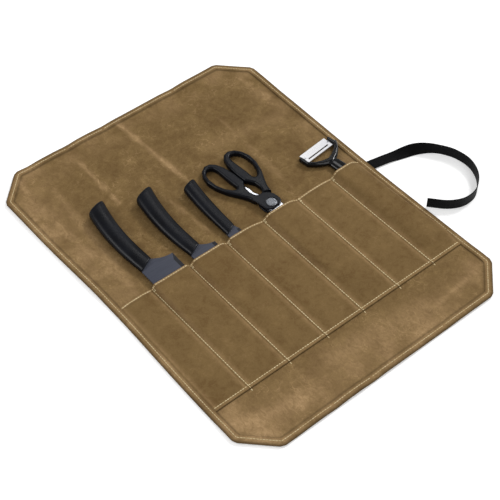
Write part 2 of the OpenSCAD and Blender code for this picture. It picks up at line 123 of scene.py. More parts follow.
# waxed cotton canvas: woven, rubbed with wax, so it is blotched and pale where it was creased; painted shade darkens it
# along its seams and hem edges, and a painted highlight pales the pockets' folded mouth edge
def waxedCanvas(name, look):
    material, tree, shader = newMaterial(name)
    place = addNode(tree, "ShaderNodeTexCoord").outputs["Object"]
    cloud = addNode(tree, "ShaderNodeTexNoise", {"Vector": place, "Scale": 1 / look["cloudSize"], "Detail": 5,
                                                 "Roughness": 0.6, "Distortion": 0.6}).outputs["Fac"]
    blotch = addNode(tree, "ShaderNodeTexNoise", {"Vector": place, "Scale": 1 / look["blotchSize"], "Detail": 4,
                                                  "Roughness": 0.66, "Distortion": 0.8}).outputs["Fac"]
    tone = addNode(tree, "ShaderNodeMix", {"Factor": 0.55, "A": cloud, "B": blotch}, data_type="FLOAT").outputs[0]
    grain = addNode(tree, "ShaderNodeTexNoise", {"Vector": place, "Scale": 1 / look["grainSize"], "Detail": 2,
                                                 "Roughness": 0.6}).outputs["Fac"]
    grained = addNode(tree, "ShaderNodeMix", {"Factor": 0.22, "A": tone, "B": grain}, data_type="FLOAT").outputs[0]
    body = addNode(tree, "ShaderNodeValToRGB", {"Fac": grained})
    setRamp(body, [(0.39, look["dark"]), (0.5, look["mid"]), (0.63, look["light"])])
    # thin pale veins, where wax was broken by handling
    vein = addNode(tree, "ShaderNodeTexNoise", {"Vector": place, "Scale": 1 / look["veinSize"], "Detail": 3,
                                                "Roughness": 0.55, "Distortion": 1.6}).outputs["Fac"]
    fromLine = addNode(tree, "ShaderNodeMath", {0: vein, 1: 0.5}, operation="SUBTRACT").outputs[0]
    gap = addNode(tree, "ShaderNodeMath", {0: fromLine}, operation="ABSOLUTE").outputs[0]
    line = addNode(tree, "ShaderNodeMapRange", {"Value": gap, "From Max": 0.02, "To Min": 1, "To Max": 0}).outputs[0]
    where = addNode(tree, "ShaderNodeMapRange", {"Value": cloud, "From Min": 0.46, "From Max": 0.62,
                                                 "To Max": look["veins"]}).outputs[0]
    veins = addNode(tree, "ShaderNodeMath", {0: line, 1: where}, operation="MULTIPLY").outputs[0]
    # pale wear, and at the pocket mouths a painted highlight
    wear = addNode(tree, "ShaderNodeAttribute", attribute_name="wear").outputs["Fac"]
    streakPlace = addNode(tree, "ShaderNodeMapping", {"Vector": place, "Rotation": (0, 0, 0.4), "Scale": (1, 0.55, 1)})
    streak = addNode(tree, "ShaderNodeTexNoise", {"Vector": streakPlace.outputs[0], "Scale": 1 / look["streakSize"],
                                                  "Detail": 5, "Roughness": 0.7, "Distortion": 1.4}).outputs["Fac"]
    broken = addNode(tree, "ShaderNodeMapRange", {"Value": streak, "From Min": 0.36, "From Max": 0.66, "To Min": 0.4}).outputs[0]
    pale = addNode(tree, "ShaderNodeMath", {0: wear, 1: broken, 2: veins}, operation="MULTIPLY_ADD",
                   use_clamp=True).outputs[0]
    # painted shade: this attribute darkens the cloth at the hem's edges, the pocket dividers, the mouth band and the
    # pocket foot
    grime = addNode(tree, "ShaderNodeAttribute", attribute_name="grime").outputs["Fac"]
    worn = mixColours(tree, pale, body.outputs[0], linearColour(look["worn"]))
    tree.links.new(mixColours(tree, grime, worn, linearColour(look["grime"])), shader.inputs["Base Color"])
    # plain weave, drawn at 1.1 mm a thread so that it shows
    waveScale = 2 * math.pi / 20 / look["threadPitch"]
    warp = addNode(tree, "ShaderNodeTexWave", {"Vector": place, "Scale": waveScale, "Distortion": 0.6},
                   bands_direction="X").outputs["Fac"]
    weft = addNode(tree, "ShaderNodeTexWave", {"Vector": place, "Scale": waveScale, "Distortion": 0.6},
                   bands_direction="Y").outputs["Fac"]
    weave = addNode(tree, "ShaderNodeMath", {0: warp, 1: weft}, operation="ADD").outputs[0]
    relief = addNode(tree, "ShaderNodeMath", {0: weave, 1: 0.25, 2: tone}, operation="MULTIPLY_ADD").outputs[0]
    bump = addNode(tree, "ShaderNodeBump", {"Height": relief, "Strength": 0.4, "Distance": 0.0006})
    tree.links.new(bump.outputs[0], shader.inputs["Normal"])
    shader.inputs["Roughness"].default_value = 0.78
    shader.inputs["Specular IOR Level"].default_value = 0.12
    return material


# the dark entry after the worn one is the colour of the painted shade along the seams and hem edges
canvasLook = dict(dark="#695130", mid="#765e3a", light="#866d45", worn="#ba996f", grime="#3d2e19", cloudSize=0.045,
                  blotchSize=0.009, grainSize=0.0016, streakSize=0.0055, veinSize=0.018, veins=0.4, threadPitch=0.0011)
canvasCloth = waxedCanvas("waxedCanvas", canvasLook)
pocketCloth = waxedCanvas("pocketCanvas", dict(canvasLook, dark="#6b5230", light="#7f6640", veins=0.12))


# spun polyester sewing thread: pale, with a slight sheen
def sewingThread():
    material, tree, shader = newMaterial("sewingThread")
    place = addNode(tree, "ShaderNodeTexCoord").outputs["Object"]
    fibre = addNode(tree, "ShaderNodeTexNoise", {"Vector": place, "Scale": 260, "Detail": 2})
    tint = addNode(tree, "ShaderNodeValToRGB", {"Fac": fibre.outputs["Fac"]})
    setRamp(tint, [(0.35, "#cbb382"), (0.65, "#e4d2a8")])
    tree.links.new(tint.outputs[0], shader.inputs["Base Color"])
    shader.inputs["Roughness"].default_value = 0.55
    return material


# polypropylene webbing: black, woven in ribs along its length
def blackWebbing():
    material, tree, shader = newMaterial("blackWebbing")
    place = addNode(tree, "ShaderNodeUVMap").outputs[0]
    ribs = addNode(tree, "ShaderNodeTexWave", {"Vector": place, "Scale": 0.55, "Distortion": 0.4}, bands_direction="X")
    chevron = addNode(tree, "ShaderNodeTexWave", {"Vector": place, "Scale": 0.2, "Distortion": 0.2},
                      bands_direction="Y")
    relief = addNode(tree, "ShaderNodeMath", {0: ribs.outputs["Fac"], 1: 0.5, 2: chevron.outputs["Fac"]},
                     operation="MULTIPLY_ADD")
    bump = addNode(tree, "ShaderNodeBump", {"Height": relief.outputs[0], "Strength": 0.5, "Distance": 0.0003})
    tint = addNode(tree, "ShaderNodeValToRGB", {"Fac": ribs.outputs["Fac"]})
    setRamp(tint, [(0.2, "#020203"), (0.8, "#09090b")])
    tree.links.new(tint.outputs[0], shader.inputs["Base Color"])
    tree.links.new(bump.outputs[0], shader.inputs["Normal"])
    shader.inputs["Roughness"].default_value = 0.5
    shader.inputs["Specular IOR Level"].default_value = 0.07
    return material


# moulded plastics: a fine spark-eroded grain for the grips, polished for the peeler
def mouldedPlastic(name, look):
    material, tree, shader = newMaterial(name)
    place = addNode(tree, "ShaderNodeTexCoord").outputs["Object"]
    grain = addNode(tree, "ShaderNodeTexNoise", {"Vector": place, "Scale": 1 / look["grainSize"], "Detail": 2})
    smear = addNode(tree, "ShaderNodeTexNoise", {"Vector": place, "Scale": 45, "Detail": 4})
    tint = addNode(tree, "ShaderNodeValToRGB", {"Fac": smear.outputs["Fac"]})
    setRamp(tint, [(0.35, look["dark"]), (0.65, look["light"])])
    gloss = addNode(tree, "ShaderNodeMapRange", {"Value": smear.outputs["Fac"], "From Min": 0.3, "From Max": 0.7,
                                                 "To Min": look["smooth"], "To Max": look["rough"]})
    bump = addNode(tree, "ShaderNodeBump", {"Height": grain.outputs["Fac"], "Strength": look["bump"],
                                            "Distance": 0.0001})
    tree.links.new(tint.outputs[0], shader.inputs["Base Color"])
    tree.links.new(gloss.outputs[0], shader.inputs["Roughness"])
    tree.links.new(bump.outputs[0], shader.inputs["Normal"])
    shader.inputs["Specular IOR Level"].default_value = look["specular"]
    return material


# steel and coated blades: ground, so the finish is drawn out across the blade
def groundMetal(name, look):
    material, tree, shader = newMaterial(name)
    place = addNode(tree, "ShaderNodeTexCoord").outputs["Object"]
    drawn = addNode(tree, "ShaderNodeMapping", {"Vector": place, "Scale": (60, 1800, 60)})
    lines = addNode(tree, "ShaderNodeTexNoise", {"Vector": drawn.outputs[0], "Scale": 1, "Detail": 3})
    tint = addNode(tree, "ShaderNodeValToRGB", {"Fac": lines.outputs["Fac"]})
    setRamp(tint, [(0.3, look["dark"]), (0.7, look["light"])])
    gloss = addNode(tree, "ShaderNodeMapRange", {"Value": lines.outputs["Fac"], "From Min": 0.3, "From Max": 0.7,
                                                 "To Min": look["smooth"], "To Max": look["rough"]})
    tree.links.new(tint.outputs[0], shader.inputs["Base Color"])
    tree.links.new(gloss.outputs[0], shader.inputs["Roughness"])
    shader.inputs["Metallic"].default_value = look["metallic"]
    shader.inputs["Specular IOR Level"].default_value = look["specular"]
    return material


thread = sewingThread()
webbing = blackWebbing()
gripPlastic = mouldedPlastic("gripPolypropylene", dict(dark="#07080d", light="#0e1017", smooth=0.26, rough=0.36,
                                                       specular=0.19, grainSize=0.0007, bump=0.15))
peelerPlastic = mouldedPlastic("peelerABS", dict(dark="#040406", light="#08080b", smooth=0.14, rough=0.22,
                                                 specular=0.3, grainSize=0.002, bump=0.03))
whiteCeramic = mouldedPlastic("zirconiaCeramic", dict(dark="#e4e4e7", light="#efeff1", smooth=0.18, rough=0.26,
                                                      specular=0.5, grainSize=0.001, bump=0.02))
bladeCoat = groundMetal("slateBlade", dict(dark="#393c48", light="#434652", smooth=0.36, rough=0.48, metallic=0,
                                           specular=0.25))
# the ground bevel's own finish, painted darker still with the shade its angled face takes
shadedBevelCoat = groundMetal("slateBevel", dict(dark="#121318", light="#1a1b21", smooth=0.3, rough=0.4, metallic=0,
                                           specular=0.25))
polishedSteel = groundMetal("polishedSteel", dict(dark="#a4a7ad", light="#c8cacf", smooth=0.16, rough=0.28,
                                                  metallic=1, specular=0.5))
brushedSteel = groundMetal("brushedSteel", dict(dark="#74777c", light="#8f9297", smooth=0.32, rough=0.46,
                                                metallic=1, specular=0.5))
print("materials made")

# camera, from the photo's own perspective
view = dict(lens=92.367, place=(-0.62415, -0.76521, 1.11956), pitch=49.337, yaw=39.596)
camera = bpy.data.objects.new("camera", bpy.data.cameras.new("camera"))
bpy.context.collection.objects.link(camera)
camera.data.lens = view["lens"]
camera.data.sensor_width = 36
camera.location = view["place"]
camera.rotation_euler = (math.radians(90 - view["pitch"]), 0, math.radians(-view["yaw"]))
bpy.context.scene.camera = camera

# strap: the same points as the solid's, in metres
strap = dict(width=0.015, thick=0.001, start=(0.190, -0.014), flatUntil=2, uprightFrom=8, between=4,
             route=[(0, 0), (10, -2), (20, -4), (31, -7), (42, -11), (53, -16), (63, -23), (72, -31),
                    (79, -40), (85, -51), (88, -62), (89, -74), (87, -85), (82, -96), (76, -104), (68, -111),
                    (58, -117), (47, -119), (36, -118), (25, -113), (16, -106), (9, -98), (3, -91)])


def strapStations():
    points = [Vector((x * 0.001, y * 0.001, 0)) for x, y in strap["route"]]
    last = len(points) - 1
    stations = []
    for i in range(last):
        a, b, c, d = (points[max(i - 1, 0)], points[i], points[i + 1], points[min(i + 2, last)])
        for s in range(strap["between"]):
            t = s / strap["between"]
            p = 0.5 * (2 * b + (c - a) * t + (2 * a - 5 * b + 4 * c - d) * t ** 2 + (3 * b - a - 3 * c + d) * t ** 3)
            stations.append((i + t, p))
    stations.append((last, points[last]))
    made = []
    for n, (i, p) in enumerate(stations):
        ahead = stations[min(n + 1, len(stations) - 1)][1] - stations[max(n - 1, 0)][1]
        ahead.normalize()
        if n == 0:
            ahead = Vector((1, 0, 0))
        turn = math.pi / 2 * smoothStep((i - strap["flatUntil"]) / (strap["uprightFrom"] - strap["flatUntil"]))
        side = Vector((-ahead.y, ahead.x, 0))
        wide = math.cos(turn) * side + Vector((0, 0, math.sin(turn)))
        thick = -math.sin(turn) * side + Vector((0, 0, math.cos(turn)))
        rise = strap["width"] / 2 * math.sin(turn) + strap["thick"] / 2 * math.cos(turn)
        base = Vector((strap["start"][0] + p.x, strap["start"][1] + p.y, max(0.0015, rise)))
        made.append((base, wide, thick))
    return made


def makeStrap():
    stations = strapStations()
    profile = [(-0.96, -1), (-0.5, -0.8), (0, -0.8), (0.5, -0.8), (0.96, -1), (1, 0),
               (0.96, 1), (0.5, 0.8), (0, 0.8), (-0.5, 0.8), (-0.96, 1), (-1, 0)]
    bm = bmesh.new()
    uv = bm.loops.layers.uv.new("weave")
    base, wide, thick = stations[0]

    def spot(station, p):
        base, wide, thick = station
        return base + wide * p[0] * strap["width"] / 2 + thick * p[1] * strap["thick"] / 2

    ring = [bm.verts.new(spot(stations[0], p)) for p in profile]
    loop = [bm.edges.new((ring[i], ring[(i + 1) % len(ring)])) for i in range(len(ring))]
    length = 0
    for a, b in zip(stations, stations[1:]):
        grown = bmesh.ops.extrude_edge_only(bm, edges=loop)["geom"]
        fresh = [g for g in grown if isinstance(g, bmesh.types.BMVert)]
        near = {tuple(round(c, 7) for c in spot(a, p)): p for p in profile}
        run = (b[0] - a[0]).length
        for v in fresh:
            v.co = spot(b, near[tuple(round(c, 7) for c in v.co)])
        loop = [g for g in grown if isinstance(g, bmesh.types.BMEdge)
                and all(v in fresh for v in g.verts)]
        for face in (g for g in grown if isinstance(g, bmesh.types.BMFace)):
            for corner in face.loops:
                station = b if corner.vert in fresh else a
                across = (corner.vert.co - station[0]).dot(station[1]) * 1000
                corner[uv].uv = (across, (length + (run if corner.vert in fresh else 0)) * 1000)
        length += run
    bmesh.ops.holes_fill(bm, edges=bm.edges, sides=0)
    bmesh.ops.recalc_face_normals(bm, faces=bm.faces)
    piece = makePiece("strapWebbing", bm, webbing, 50)
    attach(piece, "panel_5")
    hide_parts("strap")
    print("strap made, %.0f mm long" % (length * 1000))


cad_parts["strap_tab"].data.materials.clear()
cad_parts["strap_tab"].data.materials.append(webbing)
makeStrap()

# the opened cloth: shell and lining in one, hemmed all round, cut into columns at the fold lines
cloth = dict(width=0.380, length=0.500, corner=0.036, soft=0.0012, top=0.002, hemTop=0.003, hem=0.009, edgeRound=0.0016,
             foldZ=0.003, flapY=0.182, flapBend=0.007, grid=0.003,
             edges=(-0.190, -0.135, -0.081, -0.027, 0.081, 0.190), turns=(0, 60, 60, 60, 80, 0),
             leftIn=0.0036, rightIn=0.0022)
# pale crease lines: from, to, half width, strength
creases = [((-0.007, 0.239), (0.000, 0.106), 0.0030, 0.75), ((-0.083, 0.214), (-0.085, 0.130), 0.0026, 0.6),
           ((0.163, 0.207), (0.170, 0.159), 0.0026, 0.45), ((-0.030, 0.020), (-0.037, 0.100), 0.0020, 0.35),
           ((0.090, 0.020), (0.097, 0.170), 0.0025, 0.25), ((-0.150, -0.020), (-0.160, 0.150), 0.0030, 0.3),
           ((0.056, 0.135), (0.163, 0.123), 0.0100, 0.2), ((-0.132, 0.196), (-0.141, 0.111), 0.0040, 0.3),
           ((-0.136, 0.148), (-0.149, 0.020), 0.0060, 0.35), ((-0.171, -0.202), (-0.104, -0.218), 0.0080, 0.45),
           ((-0.045, -0.200), (0.077, -0.212), 0.0140, 0.3), ((0.020, -0.225), (0.150, -0.215), 0.0030, 0.3),
           ((-0.164, 0.134), (-0.158, 0.095), 0.0024, 0.5), ((-0.152, 0.074), (-0.156, 0.052), 0.0024, 0.45),
           ((-0.158, 0.233), (-0.161, 0.214), 0.0040, 0.5), ((-0.176, 0.178), (-0.177, 0.154), 0.0024, 0.45)]


def edgeDistance(x, y):
    across, along = cloth["width"] / 2 - abs(x), cloth["length"] / 2 - abs(y)
    return min(across, along, (across + along - cloth["corner"]) / math.sqrt(2),
               (across - cloth["corner"]) * math.sin(math.pi / 8) + along * math.cos(math.pi / 8) - cloth["soft"],
               (along - cloth["corner"]) * math.sin(math.pi / 8) + across * math.cos(math.pi / 8) - cloth["soft"])


def foldFade(x, reach):
    return min(smoothStep(abs(x - line) / reach) for line in cloth["edges"][1:-1])


# the cloth lies flat under the pockets and the tools, and in soft waves past them
def clothWave(x, y):
    spot = Vector((x * 9, y * 9, 0))
    wave = max(0, 0.5 + 0.5 * noise.noise(spot) + 0.2 * noise.noise(spot * 2.7))
    path = smoothStep((x + 0.02) / 0.02) * smoothStep((0.11 - x) / 0.02)  # where the scissors are drawn out
    outside = max(smoothStep((y - mix(0.15, 0.216, path)) / 0.03), smoothStep((-0.178 - y) / 0.02),
                  smoothStep((-x - 0.14) / 0.02) * smoothStep((y - 0.005) / 0.03))
    return wave * 0.0018 * outside * foldFade(x, 0.02)


def drawnIn(x, y):
    left = smoothStep((-x - 0.138) / 0.05) * cloth["leftIn"] * math.exp(-(y / 0.1) ** 2)
    right = smoothStep((x - 0.084) / 0.1) * cloth["rightIn"] * math.exp(-((y + 0.02) / 0.13) ** 2)
    return x + left - right


def topHeight(x, y):
    d = edgeDistance(x, y)
    hem = smoothStep((cloth["hem"] + 0.0006 - d) / 0.0006) * (cloth["hemTop"] - cloth["top"])
    return cloth["top"] + hem


def roundOff(d):
    t = min(d / cloth["edgeRound"], 1)
    return math.sqrt(max(0, 1 - (1 - t) ** 2))


def creaseWear(x, y):
    wear = 0
    spot = Vector((x, y, 0))
    for start, end, half, strength in creases:
        a, b = Vector((*start, 0)), Vector((*end, 0))
        t = min(max((spot - a).dot(b - a) / (b - a).length_squared, 0), 1)
        wander = 0.004 * noise.noise(Vector((t * 6, strength * 50, 0)))
        gap = ((spot - a - (b - a) * t).length + wander) / half
        wear = max(wear, strength * math.exp(-gap * gap))
    d = edgeDistance(x, y)
    rubbed = 0.5 * math.exp(-((d - 0.016) / 0.022) ** 2) * max(0, noise.noise(spot * 40) + 0.3)
    corner = math.exp(-((x + 0.175) / 0.04) ** 2)
    corner += math.exp(-((y + 0.225) / 0.04) ** 2) * mix(1.2, 0.5, smoothStep((x + 0.06) / 0.2))
    rubbed += 0.25 * corner * max(0, 0.6 * noise.noise(spot * 30 + Vector((3, 7, 0))) + 0.8)
    ridge = 0.35 * math.exp(-((d - cloth["hem"] * 0.6) / 0.002) ** 2)
    return min(0.9, max(wear, ridge) + rubbed)


# painted shade: a dark line along the hem's inner step and a darker outer rim where the edge rounds away
def seamPaintedShade(x, y):
    d = edgeDistance(x, y)
    inner = 0.45 * math.exp(-((d - cloth["hem"] - 0.0006) / 0.0012) ** 2)
    outer = 0.6 * math.exp(-(d / 0.0022) ** 2)
    return max(inner, outer)


def cutLines():
    w, l = cloth["width"] / 2, cloth["length"] / 2
    slope = math.sqrt(0.5)
    sides = [((w, 0), (1, 0)), ((-w, 0), (-1, 0)), ((0, l), (0, 1)), ((0, -l), (0, -1))]
    for sx in (1, -1):
        for sy in (1, -1):
            sides.append(((sx * (w - cloth["corner"]), sy * l), (sx * slope, sy * slope)))
            # both ends of the cut corner are softened by a second, smaller cut
            for px, py, turn in ((w - cloth["corner"], l, math.pi / 8), (w, l - cloth["corner"], math.pi * 3 / 8)):
                nx, ny = math.sin(turn), math.cos(turn)
                sides.append(((sx * (px - nx * cloth["soft"]), sy * (py - ny * cloth["soft"])), (sx * nx, sy * ny)))
    return sides


def splitAt(bm, point, normal, clear=False):
    geom = bm.verts[:] + bm.edges[:] + bm.faces[:]
    bmesh.ops.bisect_plane(bm, geom=geom, dist=1e-6, plane_co=point, plane_no=normal, clear_outer=clear)


def clothColumn(i):
    low, high = cloth["edges"][i - 1], cloth["edges"][i]
    bm = bmesh.new()
    across = max(4, round((high - low) / cloth["grid"]))
    along = round(cloth["length"] / cloth["grid"])
    bmesh.ops.create_grid(bm, x_segments=across, y_segments=along, size=0.5)
    bmesh.ops.scale(bm, vec=(high - low, cloth["length"], 1), verts=bm.verts)
    bmesh.ops.translate(bm, vec=((low + high) / 2, 0, 0), verts=bm.verts)
    for (px, py), (nx, ny) in cutLines():
        splitAt(bm, (px, py, 0), (nx, ny, 0), clear=True)
        for inset in (0.0004, cloth["edgeRound"], cloth["hem"], cloth["hem"] + 0.0006):
            splitAt(bm, (px - nx * inset, py - ny * inset, 0), (nx, ny, 0))
    flat = sum(f.calc_area() for f in bm.faces)
    # layers are made before the extrusion, because a new layer drops held vertices
    for layer in ("wear", "grime"):
        bm.verts.layers.float.new(layer)
    wear, grime = (bm.verts.layers.float[layer] for layer in ("wear", "grime"))
    grown = bmesh.ops.extrude_face_region(bm, geom=bm.faces[:])["geom"]
    upper = {g for g in grown if isinstance(g, bmesh.types.BMVert)}
    for v in bm.verts:
        x, y = v.co.x, v.co.y
        top = topHeight(x, y)
        middle = top / 2
        part = 0.2 + 0.8 * roundOff(edgeDistance(x, y))
        z = middle + (top - middle) * part if v in upper else middle * (1 - part)
        v[wear] = creaseWear(x, y)
        v[grime] = seamPaintedShade(x, y)
        v.co = (drawnIn(x, y), y, z + clothWave(x, y))
    # each side turns half way round its fold line, inside the next column while flat, to close the fold's back
    for line, turn in ((low, cloth["turns"][i - 1]), (high, -cloth["turns"][i])):
        side = [f for f in bm.faces if turn and all(abs(v.co.x - line) < 1e-6 for v in f.verts)]
        if side:
            bmesh.ops.spin(bm, geom=side, cent=(line, 0, cloth["foldZ"]), axis=(0, 1, 0),
                           angle=math.radians(turn / 2) * 0.99, steps=4)
            bmesh.ops.delete(bm, geom=side, context="FACES")
    for v in bm.verts:
        if not low - 1e-6 < v.co.x < high + 1e-6:
            v.co.z = min(v.co.z, topHeight(v.co.x, v.co.y) - 0.000015)
    bmesh.ops.recalc_face_normals(bm, faces=bm.faces)
    piece = makePiece("clothColumn%d" % i, bm, canvasCloth, 60)
    return piece, flat, high - low


def stitch(bm, spot, ahead, up, size):
    ahead = ahead.normalized()
    side = up.cross(ahead).normalized()
    up = ahead.cross(side)
    turn = Matrix((ahead, side, up)).transposed().to_4x4()
    shape = Matrix.Translation(spot) @ turn @ Matrix.Diagonal((size[0] / 2, size[1] / 2, size[2] / 2, 1))
    bmesh.ops.create_uvsphere(bm, u_segments=6, v_segments=4, radius=1, matrix=shape)


stitches = dict(pitch=0.0034, size=(0.0037, 0.0014, 0.0009), hemSize=(0.0036, 0.0010, 0.0008),
                hemLine=0.0056)


def hemThread(i):
    low, high = cloth["edges"][i - 1], cloth["edges"][i]
    w, l = cloth["width"] / 2 - stitches["hemLine"], cloth["length"] / 2 - stitches["hemLine"]
    c = cloth["corner"] - stitches["hemLine"] * (2 - math.sqrt(2))
    corners = [(-w, -l + c), (-w + c, -l), (w - c, -l), (w, -l + c), (w, l - c), (w - c, l), (-w + c, l), (-w, l - c)]
    bm = bmesh.new()
    for a, b in zip(corners, corners[1:] + corners[:1]):
        start, end = Vector((*a, 0)), Vector((*b, 0))
        count = max(1, round((end - start).length / stitches["pitch"]))
        for n in range(count):
            p = start.lerp(end, (n + 0.5) / count)
            if not low + 0.001 < p.x < high - 0.001:
                continue
            wave = clothWave(p.x, p.y)
            x = drawnIn(p.x, p.y)
            stitch(bm, Vector((x, p.y, cloth["hemTop"] + wave)), end - start, Vector((0, 0, 1)), stitches["hemSize"])
            stitch(bm, Vector((x, p.y, wave + 0.0001)), end - start, Vector((0, 0, 1)), stitches["hemSize"])
    return makePiece("hemThread%d" % i, bm, thread)


for i in range(1, 6):
    column, flatArea, wide = clothColumn(i)
    seam = hemThread(i)
    middle = (cloth["edges"][i - 1] + cloth["edges"][i]) / 2
    for piece in (column, seam):
        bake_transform(piece, "panel_%d" % i, "flap_%d" % i, start=(middle, cloth["flapY"] - cloth["flapBend"], cloth["foldZ"]),
                 end=(middle, cloth["flapY"] + cloth["flapBend"], cloth["foldZ"]))
    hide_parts("shell_%d" % i, "lining_%d" % i, "flap_shell_%d" % i, "flap_lining_%d" % i)
print("cloth made")

# knives: lengths and widths from the solids; the axis rises from the tip to the butt
knives = dict(
    large=dict(blade=0.150, bladeWidth=0.044, grip=0.105, collar=0.020, butt=0.026, buttThick=0.015, bow=0.003,
               place=(-0.120, 0.028)),
    middle=dict(blade=0.128, bladeWidth=0.035, grip=0.105, collar=0.018, butt=0.027, buttThick=0.015, bow=0.003,
                place=(-0.0635, 0.011)),
    small=dict(blade=0.092, bladeWidth=0.018, grip=0.085, collar=0.016, butt=0.0205, buttThick=0.013, bow=0,
               place=(-0.0125, 0.009)))
bladeThick = 0.002
seatZ = 0.0023
slant = math.tan(math.radians(27))


def knifeSlope(k):
    return (k["buttThick"] - bladeThick) / 2 / (k["grip"] + k["blade"])


def knifeZ(k):
    return seatZ + bladeThick / 2 + k["blade"] * knifeSlope(k)


def bladeTop(k, y):
    return knifeZ(k) + (y - k["place"][1]) * knifeSlope(k) + bladeThick / 2


# a knife's own frame: origin at the collar, +Y along the handle, spine on the left
def heelY(k):
    return 0.001 - k["collar"] / 2 * slant


def neckX(k):
    return k["collar"] / 2 - 0.001


def tipX(k):
    return k["bladeWidth"] * 0.32 - k["collar"] / 2


def bladeRight(k, y):
    edge = k["bladeWidth"] - k["collar"] / 2
    if y > heelY(k):
        t = min((y - heelY(k)) / (neckX(k) * slant - heelY(k)), 1)
        return mix(edge, neckX(k), t ** (1 / 2.2))
    tipRun = k["blade"] * 0.55
    c = min(max(1 - (y + k["blade"]) / tipRun, 0), 1)
    return mix(tipX(k), edge, math.sin(math.acos(c)))


def bladeLeft(k, y):
    spine = -k["collar"] / 2
    start = spine * slant - 0.040
    t = min(max((start - y) / (start + k["blade"]), 0), 1)
    return mix(spine, tipX(k), t ** 3)


# pocket fronts
pockets = dict(thick=0.001, seam=0.0012, foot=-0.174, footRun=0.030, liningTop=0.002, clear=0.0001,
               grid=0.0025, lip=0.0042, lipRise=0.0007, mouthBand=0.0042, bandThick=0.0005,
               edges=(-0.181, -0.135, -0.081, -0.027, 0.027, 0.081, 0.135, 0.181),
               panels=(1, 2, 3, 4, 4, 5, 5))


# what lies in each pocket: room over the lining at the mouth and at its far end, and that end's place
def knifeRoom(k):
    end = k["place"][1] - k["blade"]
    drop = pockets["clear"] - pockets["liningTop"]
    return dict(mouth=bladeTop(k, 0) + drop, far=bladeTop(k, end) + drop, end=end, knife=k)


empty = dict(mouth=0.0018, far=0.0012, end=-0.1305)
pocketRooms = (dict(empty, middle=-0.158, lean=0, half=(0.006, 0.003)), knifeRoom(knives["large"]),
               knifeRoom(knives["middle"]), knifeRoom(knives["small"]),
               dict(mouth=0.0061, far=0.0061, end=-0.0845, middle=0.0511, lean=0.0577, half=(0.0106, 0.003),
                    swing=0.17),
               dict(empty, middle=0.108, lean=0, half=(0.006, 0.003)),
               dict(mouth=0.0079, far=0.0079, end=-0.070, middle=0.1551, lean=0.1051, half=(0.0085, 0.0085)))


def toolSpan(room, y):
    if "knife" in room:
        k = room["knife"]
        own = y - k["place"][1]
        return k["place"][0] + bladeLeft(k, own), k["place"][0] + bladeRight(k, own)
    half = mix(*room["half"], min(max(y / room["end"], 0), 1))
    middle = room["middle"] - y * room["lean"]
    opened = room.get("swing", 0) * (0.0105 - max(y, room["end"])) * smoothStep((y - room["end"] + 0.06) / 0.058)
    return middle - half - opened, middle + half


def pocketHeight(k, x, y):
    low, high = (pockets["edges"][k - 1] + pockets["seam"], pockets["edges"][k] - pockets["seam"])
    room = pocketRooms[k - 1]
    left, right = toolSpan(room, y)
    rise = 1
    if x < left:
        rise = (x - low) / (left - low)
    elif x > right:
        rise = (high - x) / (high - right)
    rise = math.sin(math.pi / 2 * min(max(rise, 0), 1))
    along = min(max(0, y / room["end"]), 1)
    foot = smoothStep((y - pockets["foot"] - pockets["seam"]) / pockets["footRun"])
    spot = Vector((x * 22, y * 14, k))
    loose = 0.0007 * max(0, noise.noise(spot) + 0.4 * noise.noise(spot * 3))
    return (mix(room["mouth"], room["far"], along) + loose) * rise * foot


def pocketTop(k, x, y):
    if y < pockets["foot"]:
        return topHeight(x, y) + clothWave(x, y)
    band = pockets["bandThick"] * smoothStep((y + pockets["mouthBand"]) / 0.0006)
    lip = pockets["lipRise"] * smoothStep((pockets["foot"] + pockets["lip"] - 0.0008 - y) / 0.0016)
    # thinner at the dividers, to stay under the fold line
    side = min(x - pockets["edges"][k - 1], pockets["edges"][k] - x)
    extra = mix(-0.00006, band + lip, smoothStep(side / pockets["seam"]))
    return pockets["liningTop"] + pockets["thick"] + pocketHeight(k, x, y) + extra


